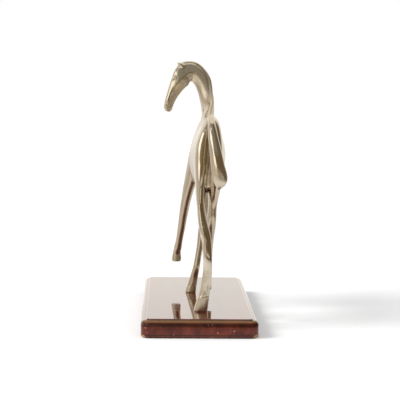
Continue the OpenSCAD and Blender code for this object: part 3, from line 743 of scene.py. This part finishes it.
def lacquer_material(settings):
    """Dark lacquered hardwood: grain along the board under a glossy coat, thin on the end grain, with
    wear at the lower corners, painted shade under the ovolo and at the foot, and a painted dull
    highlight along the top of the ovolo on the ends."""
    material, w = new_material("lacquered_wood")
    x, y, z = place_axes(w)
    grain = noise(w, (150, 9, 150), 6, 0.62, 0.6)
    figure = noise(w, (34, 5, 34), 3, distortion=1.2)
    pores = noise(w, (1500, 60, 1500), 2)
    stain = noise(w, (60, 60, 90), 5, 0.7, offset=(0.3, 0, 0))
    scatter = noise(w, (45, 45, 120), 2, offset=(0, 0.2, 0))
    ripple = noise(w, (26, 12, 40), 2)
    specks = w.node("TexVoronoi", None, {"Vector": stretched(w, (220, 220, 220)), "Scale": 1}, 0)
    dark, light = colour(settings.lacquer_dark), colour(settings.lacquer_light)
    wood = (grain * 0.6 + figure * 0.4).rise(0.34, 0.66).mixed(dark, light)
    wood = (pores.rise(0.6, 0.72) * 0.35).mixed(wood, PORE)
    wood = (stain.rise(0.54, 0.68) * 0.8).mixed(wood, STAIN)
    top, foot, half_w, half_l = GROUND, PLINTH_LOW.z, PLINTH_HIGH.x, PLINTH_HIGH.y
    # Painted shade along the lower part of the ovolo and the face just under it, and a painted shadow line
    # just above the plinth's foot
    cove = z.band(top - 0.0068, top - 0.0056, top - 0.0034, top - 0.0024)
    foot_shadow = z.band(foot + 0.001, foot + 0.0014, foot + 0.0019, foot + 0.0024)
    wood = (z.math("MAXIMUM", cove, foot_shadow) * 0.7).mixed(wood, SHADE)
    side, end = x.math("ABSOLUTE", x), y.math("ABSOLUTE", y)
    across, lengthwise = side.rise(half_w - 0.009, half_w - 0.001), end.rise(half_l - 0.012, half_l - 0.001)
    corner = across * lengthwise * (1 - z.rise(foot + 0.0006, foot + 0.0042))
    rim = 1 - z.rise(foot + 0.0002, foot + 0.0012)
    chip = (corner * 0.9 + scatter * 0.75).rise(0.92, 1.04)
    chip = z.math("MAXIMUM", chip, (rim * 0.55 + stain * 0.8).rise(0.98, 1.06))
    fleck = (1 - specks.rise(0.1, 0.17)) * scatter.rise(0.5, 0.6) * (1 - z.rise(top - 0.004, top - 0.002))
    # Painted highlight: a dull olive band along the top of the ovolo on the plinth's ends, left matte and
    # with little coat
    lip = lengthwise * z.band(top - 0.0032, top - 0.002, top - 0.0011, top - 0.0009)
    worn_and_highlit = chip.mixed(wood, BARE_WOOD)
    worn_and_highlit = (fleck * 0.8).mixed(worn_and_highlit, FLECK)
    worn_and_highlit = (lip * 0.75).mixed(worn_and_highlit, OVOLO_HIGHLIGHT)
    bare_and_highlit = z.math("MAXIMUM", chip, fleck * 0.6 + lip * 0.7)
    end_grain = end.rise(half_l - 0.007, half_l - 0.004) * (1 - z.rise(top - 0.0016, top - 0.0006))
    relief = w.node("Bump", None, {"Strength": 0.05, "Distance": 0.0005, "Height": ripple + pores * 0.06})
    shader = w.node("BsdfPrincipled", None, {
        "Base Color": worn_and_highlit, "Roughness": 0.06 + bare_and_highlit * 0.6, "Specular IOR Level": 0.3,
        "Coat Weight": (1 - bare_and_highlit * 0.95) * (0.9 - end_grain * 0.84),
        "Coat Roughness": 0.02, "Coat IOR": 1.5, "Normal": relief})
    return close_material(material, shader)


def felt_material(settings):
    """Pressed wool felt: matted fibres and a soft nap."""
    material, w = new_material("felt")
    fibres = noise(w, (700, 700, 700), 6, 0.75)
    mottle = noise(w, (80, 80, 80), 3)
    deep, pale = colour(settings.felt_colour), colour([c * 1.9 for c in settings.felt_colour])
    base = (fibres * 0.65 + mottle * 0.35).rise(0.3, 0.7).mixed(deep, pale)
    relief = w.node("Bump", None, {"Strength": 0.5, "Distance": 0.0003, "Height": fibres})
    shader = w.node("BsdfPrincipled", None, {
        "Base Color": base, "Roughness": 0.95, "Sheen Weight": 0.4, "Sheen Roughness": 0.5,
        "Normal": relief})
    return close_material(material, shader)


def steel_material():
    """Turned steel: fine rings from the lathe and a dull plated grey."""
    material, w = new_material("fixing_steel")
    rings = noise(w, (90, 90, 2600), 2)
    clouds = noise(w, (260, 260, 260), 3)
    base = clouds.rise(0.35, 0.7).mixed(STEEL, STEEL_SHADE)
    relief = w.node("Bump", None, {"Strength": 0.15, "Distance": 0.0001, "Height": rings})
    shader = w.node("BsdfPrincipled", None, {
        "Base Color": base, "Metallic": 1.0, "Roughness": 0.3 + rings * 0.2, "Normal": relief})
    return close_material(material, shader)


def place_piece(name, mesh, material, slot, *nodes):
    """Links a finished mesh as a piece of the object that stands for CAD nodes."""
    piece = bpy.data.objects.new(name, mesh)
    bpy.context.scene.collection.objects.link(piece)
    mesh.materials.clear()
    mesh.materials.append(material)
    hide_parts(*nodes)
    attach(piece, "root")
    return piece


def rounded_face(bm, size, radius, segments):
    """Adds a flat face with rounded corners."""
    made = bmesh.ops.create_grid(bm, x_segments=1, y_segments=1, size=0.5)["verts"]
    bmesh.ops.scale(bm, vec=(size.x, size.y, 1), verts=made)
    bmesh.ops.bevel(bm, geom=bm.verts[:], offset=radius, offset_type="OFFSET", affect="VERTICES",
                    segments=segments, profile=0.5, material=-1)


class SculptureSettings(PropertyGroup):
    """Sizes, colours and light that can be set in the sidebar"""

    voxel: FloatProperty(
        name="Casting grain", description="Size of the faces of the castings",
        default=0.0006, min=0.0004, max=0.002, unit="LENGTH", precision=5)
    metal_colour: FloatVectorProperty(
        name="Metal", description="Colour of the polished metal",
        default=(0.67, 0.585, 0.465), min=0, max=1, subtype="COLOR")
    metal_shade: FloatVectorProperty(
        name="Metal clouding", description="Colour of the metal where the polish is cloudy",
        default=(0.6, 0.515, 0.395), min=0, max=1, subtype="COLOR")
    tarnish_colour: FloatVectorProperty(
        name="Tarnish", description="Colour of the metal in its hollows",
        default=(0.4, 0.31, 0.2), min=0, max=1, subtype="COLOR")
    # Painted shade: the colour that the legs past the near one are darkened to
    painted_leg_shade: FloatVectorProperty(
        name="Legs", description="Colour of the metal on the legs in shade",
        default=(0.49, 0.4, 0.285), min=0, max=1, subtype="COLOR")
    polish: FloatProperty(
        name="Polish", description="Roughness of the polished metal",
        default=0.09, min=0.02, max=0.6, subtype="FACTOR")
    lacquer_dark: FloatVectorProperty(
        name="Lacquer, dark grain", description="Colour of the dark grain under the lacquer",
        default=(0.085, 0.014, 0.0085), min=0, max=1, subtype="COLOR")
    lacquer_light: FloatVectorProperty(
        name="Lacquer, light grain", description="Colour of the light grain under the lacquer",
        default=(0.21, 0.042, 0.021), min=0, max=1, subtype="COLOR")
    corner_radius: FloatProperty(
        name="Plinth corner", description="Radius of the plinth's corners in plan",
        default=0.008, min=0.006, max=0.014, unit="LENGTH")
    ovolo_radius: FloatProperty(
        name="Ovolo", description="Radius of the moulding along the plinth's top edge",
        default=0.004, min=0.002, max=0.005, unit="LENGTH")
    border_width: FloatProperty(
        name="Border", description="Width of the sunk border round the raised panel",
        default=0.001, min=0.0005, max=0.0015, unit="LENGTH", precision=4)
    panel_rise: FloatProperty(
        name="Panel rise", description="Rise of the panel above its border",
        default=0.0012, min=0.0006, max=0.003, unit="LENGTH", precision=4)
    felt_colour: FloatVectorProperty(
        name="Felt", description="Colour of the felt under the plinth",
        default=(0.02, 0.05, 0.033), min=0, max=1, subtype="COLOR")
    key_level: FloatProperty(
        name="Key light", description="Strength of the soft light from the left",
        default=2.4, min=0, max=10)


class SCULPTURE_OT_castings(Operator):
    """Makes the horse: a blended figure with its details, cut at the joints into castings"""
    bl_idname = "sculpture.castings"
    bl_label = "Castings"

    def execute(self, context):
        settings = context.scene.sculpture
        figure = fused_figure(settings.voxel, BLEND_PASSES, POLISH_PASSES)
        refined_head(figure)
        carve(figure, detail_paths(figure))
        mark_hollows(figure)
        metal = metal_material(settings)
        for name, mesh in split_castings(figure).items():
            place_piece(name + "_casting", mesh, metal, "polished_metal", name)
        bpy.data.meshes.remove(figure)
        return {"FINISHED"}


class SCULPTURE_OT_plinth(Operator):
    """Makes the plinth: a rounded board with an ovolo edge, a sunk border and a raised panel"""
    bl_idname = "sculpture.plinth"
    bl_label = "Plinth"

    def execute(self, context):
        settings = context.scene.sculpture
        size = PLINTH_HIGH - PLINTH_LOW
        bm = bmesh.new()
        rounded_face(bm, size, settings.corner_radius, 12)
        bmesh.ops.translate(bm, vec=(0, 0, PLINTH_LOW.z), verts=bm.verts[:])
        top = max(bm.faces, key=lambda f: f.calc_area())
        ovolo = settings.ovolo_radius
        steps = [(0, size.z - settings.panel_rise - ovolo)]
        for k in range(10):
            a, b = math.radians(9 * k), math.radians(9 * (k + 1))
            steps.append((ovolo * (math.cos(a) - math.cos(b)), ovolo * (math.sin(b) - math.sin(a))))
        steps += [(settings.border_width, 0), (0, settings.panel_rise - PANEL_ARRIS)]
        steps.append((PANEL_ARRIS, PANEL_ARRIS))
        for inset, rise in steps:
            if inset:
                bmesh.ops.inset_region(bm, faces=[top], thickness=inset, use_even_offset=True)
            else:
                raised = bmesh.ops.extrude_face_region(bm, geom=[top])["geom"]
                top = next(g for g in raised if isinstance(g, bmesh.types.BMFace))
            bmesh.ops.translate(bm, vec=(0, 0, rise), verts=list(top.verts))
        bmesh.ops.recalc_face_normals(bm, faces=bm.faces[:])
        for f in bm.faces:
            f.smooth = True
        mesh = mesh_from(bm, "plinth_board")
        piece = place_piece("plinth_board", mesh, lacquer_material(settings), "lacquered_wood", "plinth")
        edge = piece.modifiers.new("Arris", "BEVEL")
        edge.width, edge.segments = ARRIS, 2
        edge.limit_method, edge.angle_limit = "ANGLE", math.radians(35)
        edge.harden_normals = True
        return {"FINISHED"}


class SCULPTURE_OT_felt_pad(Operator):
    """Makes the felt glued under the plinth"""
    bl_idname = "sculpture.felt_pad"
    bl_label = "Felt pad"

    def execute(self, context):
        size = FELT_HIGH - FELT_LOW
        bm = bmesh.new()
        rounded_face(bm, size, FELT_CORNER, 10)
        raised = bmesh.ops.extrude_face_region(bm, geom=bm.faces[:])["geom"]
        bmesh.ops.translate(bm, vec=(0, 0, size.z), verts=points_in(raised))
        bmesh.ops.recalc_face_normals(bm, faces=bm.faces[:])
        mesh = mesh_from(bm, "felt_sheet")
        piece = place_piece("felt_sheet", mesh, felt_material(context.scene.sculpture), "felt", "felt_pad")
        return {"FINISHED"}


class SCULPTURE_OT_fixings(Operator):
    """Gives the dowels, studs, washers and nuts their steel"""
    bl_idname = "sculpture.fixings"
    bl_label = "Fixings"

    def execute(self, context):
        steel = steel_material()
        for name in ("leg_dowels", "neck_dowel", "tail_dowel", "hoof_studs", "stud_washers", "stud_nuts"):
            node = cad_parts[name]
            node.data.materials.clear()
            node.data.materials.append(steel)
        return {"FINISHED"}


class SCULPTURE_OT_stage(Operator):
    """Sets the camera, the pale floor, the surround that the metal mirrors and the soft light"""
    bl_idname = "sculpture.stage"
    bl_label = "Stage"

    def execute(self, context):
        scene = context.scene
        scene.view_settings.view_transform = "Standard"
        camera = bpy.data.objects.new("camera", bpy.data.cameras.new("camera"))
        scene.collection.objects.link(camera)
        yaw, pitch, roll = (math.radians(a) for a in CAMERA_TURN)
        level = math.cos(pitch)
        forward = Vector((math.sin(yaw) * level, math.cos(yaw) * level, -math.sin(pitch)))
        right = Vector((math.cos(yaw), -math.sin(yaw), 0))
        up = right.cross(forward)
        c, s = math.cos(roll), math.sin(roll)
        turn = Matrix((right * c + up * s, up * c - right * s, -forward)).transposed().to_4x4()
        camera.matrix_world = Matrix.Translation(CAMERA_PLACE) @ turn
        camera.data.lens, camera.data.sensor_width = CAMERA_LENS, 36
        camera.data.clip_start, camera.data.clip_end = 0.01, 100
        scene.camera = camera
        self.lay_floor(scene)
        self.hang_screens(scene)
        self.set_lights(scene)
        return {"FINISHED"}

    def lay_floor(self, scene):
        """A plain pale floor, lifted to white where it is seen."""
        bm = bmesh.new()
        bmesh.ops.create_grid(bm, x_segments=1, y_segments=1, size=12)
        mesh = mesh_from(bm, "floor")
        floor = bpy.data.objects.new("floor", mesh)
        scene.collection.objects.link(floor)
        material, w = new_material("floor")
        seen = self.seen_rays(w)
        matte = w.node("BsdfDiffuse", None, {"Color": (0.86, 0.86, 0.86, 1)})
        glow = w.node("Emission", None, {"Color": (1, 1, 1, 1), "Strength": seen * 0.2})
        mesh.materials.append(close_material(material, w.node("AddShader", None, {0: matte, 1: glow})))

    def surround_material(self):
        """The tones of the surround: brown low and grey high, with bright cards and a pale ceiling."""
        material, w = new_material("surround")
        x, y, z = place_axes(w)
        turn = x.math("ARCTAN2", x, 0 - y) / math.tau + 0.5
        reach = (x * x + y * y) ** 0.5
        climb, lift = z / reach, (z + y * 2.2) / reach
        left = ((-150, 0.72, (1, 0.97, 0.91)), (-120, 0.64, (1, 0.97, 0.92)), (-92, 0.62, (1, 0.97, 0.92)))
        right = ((110, 0.17, (1, 0.76, 0.45)), (145, 0.26, (1, 0.86, 0.66)), (168, 0.9, (1, 0.98, 0.93)))
        brown = ((-60, 0.55, (1, 0.96, 0.88)), (-24, 0.36, (1, 0.89, 0.6)), (-8, 0.27, (1, 0.8, 0.42)),
                 (8, 0.19, (1, 0.66, 0.28)), (30, 0.17, (1, 0.7, 0.38)))
        grey = ((-60, 0.3, (1, 0.99, 0.95)), (-25, 0.34, (1, 0.98, 0.92)), (24, 0.31, (1, 0.96, 0.87)),
                (60, 0.21, (1, 0.85, 0.65)))

        def arc(first, last, along=turn):
            """Smooth rise from 0 to 1 between two bearings, in degrees."""
            return along.rise(0.5 + first / 360, 0.5 + last / 360)

        def round_about(tones):
            """A ramp of tones, each given as a bearing, a level and a tint."""
            stops = [(at / 360 + 0.5, colour([level * c for c in tint])) for at, level, tint in tones]
            return w.node("ValToRGB", {"stops": stops}, {"Fac": turn})

        low, high = (round_about((*left, *middle, *right)) for middle in (brown, grey))
        tone = z.rise(0.5, 0.85).mixed(low, high)
        screen, ground = 1 - reach.rise(0.46, 0.5), 1 - z.rise(0.004, 0.01)
        near = arc(-10, 20) * (1 - arc(50, 75))
        pale = (1 - reach.rise(0.34, 0.4)) + near * reach.band(0.56, 0.66, 1.3, 1.6)
        tone = (ground * pale).mixed(tone, (0.86, 0.86, 0.86, 1))
        fade = (1 - z.rise(0.02, 0.17)) * (1 - arc(-15, 8)) * (1 - ground)
        tone = (fade * screen).mixed(tone, (0.74, 0.67, 0.55, 1))
        start = arc(-54, -43, turn + z.rise(0.2, 0.25) * (30 / 360))
        end = arc(-25, -10, turn + z.rise(0.15, 0.19) * (14 / 360))
        card = start * (1 - end) * z.rise(0.08, 0.12) * screen
        tall = arc(-100, -88) * (1 - arc(-46, -34)) * climb.band(0.3, 0.38, 0.65, 0.8) * reach.rise(1.2, 1.4)
        tone = (card + tall).mixed(tone, CARD_GLOW)
        lamp = arc(-62, -52) * (1 - arc(-42, -32)) * climb.band(0.95, 1.1, 1.25, 1.4)
        tone = lamp.mixed(tone, CARD_GLOW)
        tone = lift.rise(1.1, 2.4).mixed(tone, (1.02, 0.985, 0.92, 1))
        return close_material(material, w.node("Emission", None, {"Color": tone, "Strength": 1.0}))

    def hang_screens(self, scene):
        """A surround that only reflections show: a room with a mat, a screen beside the object and a kerb."""
        bm = bmesh.new()
        bmesh.ops.create_uvsphere(bm, u_segments=96, v_segments=48, radius=ROOM_R)
        under = [f for f in bm.faces if f.calc_center_median().z < 0]
        bmesh.ops.delete(bm, geom=under, context="FACES")
        mat = bmesh.ops.extrude_edge_only(bm, edges=[e for e in bm.edges if e.is_boundary])["geom"]
        for v in points_in(mat):
            v.co = Vector((v.co.x, v.co.y, 0)).normalized() * MAT_R
        bmesh.ops.translate(bm, vec=(0, 0, 0.001), verts=bm.verts[:])
        spare = [f for f in bm.faces if abs(f.normal.z) > 0.99 and f.calc_center_median().z < 0.1
                 and not self.within(f.calc_center_median(), MAT_ARC)]
        bmesh.ops.delete(bm, geom=spare, context="FACES")
        hoop = bmesh.ops.create_circle(bm, segments=96, radius=SCREEN_R)["verts"]
        edges = unique(e for v in hoop for e in v.link_edges)
        foot = [e for e in edges if all(self.within(v.co, SCREEN_ARC) for v in e.verts)]
        raised = bmesh.ops.extrude_edge_only(bm, edges=foot)["geom"]
        bmesh.ops.translate(bm, vec=(0, 0, SCREEN_H), verts=points_in(raised))
        kerb = bmesh.ops.create_cube(bm, size=1)["verts"]
        ends = unique(f for v in (kerb[0], kerb[-1]) for f in v.link_faces if abs(f.normal.z) > 0.9)
        spread = (PLINTH_HIGH.x * 2 + KERB_OUT * 2, PLINTH_HIGH.y * 2 + KERB_OUT * 2, KERB_H)
        bmesh.ops.scale(bm, vec=spread, verts=kerb)
        bmesh.ops.translate(bm, vec=(0, 0, KERB_H / 2), verts=kerb)
        bmesh.ops.delete(bm, geom=ends, context="FACES_ONLY")
        mesh = mesh_from(bm, "surround")
        mesh.materials.append(self.surround_material())
        surround = bpy.data.objects.new("surround", mesh)
        scene.collection.objects.link(surround)
        surround.visible_camera = surround.visible_diffuse = surround.visible_shadow = False

    @staticmethod
    def within(place, arc):
        """If a place's bearing, in degrees to the right of where the camera stands, lies in an arc."""
        return arc[0] < math.degrees(math.atan2(place.x, -place.y)) < arc[1]

    @staticmethod
    def seen_rays(w):
        """1 for rays that show the background: the camera's, reflected and transmitted ones."""
        kinds = "Camera", "Glossy", "Transmission"
        camera, glossy, clear = (w.node("LightPath", out=f"Is {kind} Ray") for kind in kinds)
        return camera.math("MINIMUM", camera + glossy + clear, 1.0)

    def set_lights(self, scene):
        """A white world, dimmer as a light than as a background, and a soft key light."""
        world = bpy.data.worlds.new("studio")
        scene.world = world
        world.use_nodes = True
        world.node_tree.nodes.clear()
        w = Wire(world.node_tree)
        strength = 0.55 + self.seen_rays(w) * 0.45
        sky = w.node("Background", None, {"Color": (1, 1, 1, 1), "Strength": strength})
        out = world.node_tree.nodes.new("ShaderNodeOutputWorld")
        world.node_tree.links.new(sky.output, out.inputs["Surface"])
        lamp = bpy.data.lights.new("key", "SUN")
        lamp.energy, lamp.angle = scene.sculpture.key_level, math.radians(26)
        light = bpy.data.objects.new("key", lamp)
        light.rotation_mode = "QUATERNION"
        light.rotation_quaternion = Vector((0.92, 0.28, -0.72)).to_track_quat("-Z", "Y")
        light.visible_glossy = False
        scene.collection.objects.link(light)


class SCULPTURE_PT_panel(Panel):
    """Lists the sculpture's pieces and their settings"""
    bl_idname = "SCULPTURE_PT_panel"
    bl_label = "Metal horse sculpture"
    bl_space_type = "VIEW_3D"
    bl_region_type = "UI"
    bl_category = "Sculpture"

    def draw(self, context):
        settings = context.scene.sculpture
        for name in settings.__annotations__:
            self.layout.prop(settings, name)
        for operator in OPERATORS:
            self.layout.operator(operator.bl_idname)


OPERATORS = (
    SCULPTURE_OT_stage, SCULPTURE_OT_castings, SCULPTURE_OT_plinth, SCULPTURE_OT_felt_pad,
    SCULPTURE_OT_fixings)
CLASSES = (SculptureSettings, *OPERATORS, SCULPTURE_PT_panel)


def register():
    for item in CLASSES:
        bpy.utils.register_class(item)
    bpy.types.Scene.sculpture = PointerProperty(type=SculptureSettings)


def unregister():
    del bpy.types.Scene.sculpture
    for item in reversed(CLASSES):
        bpy.utils.unregister_class(item)


def main():
    register()
    bpy.ops.sculpture.stage()
    bpy.ops.sculpture.castings()
    bpy.ops.sculpture.plinth()
    bpy.ops.sculpture.felt_pad()
    bpy.ops.sculpture.fixings()


if __name__ == "__main__":
    main()
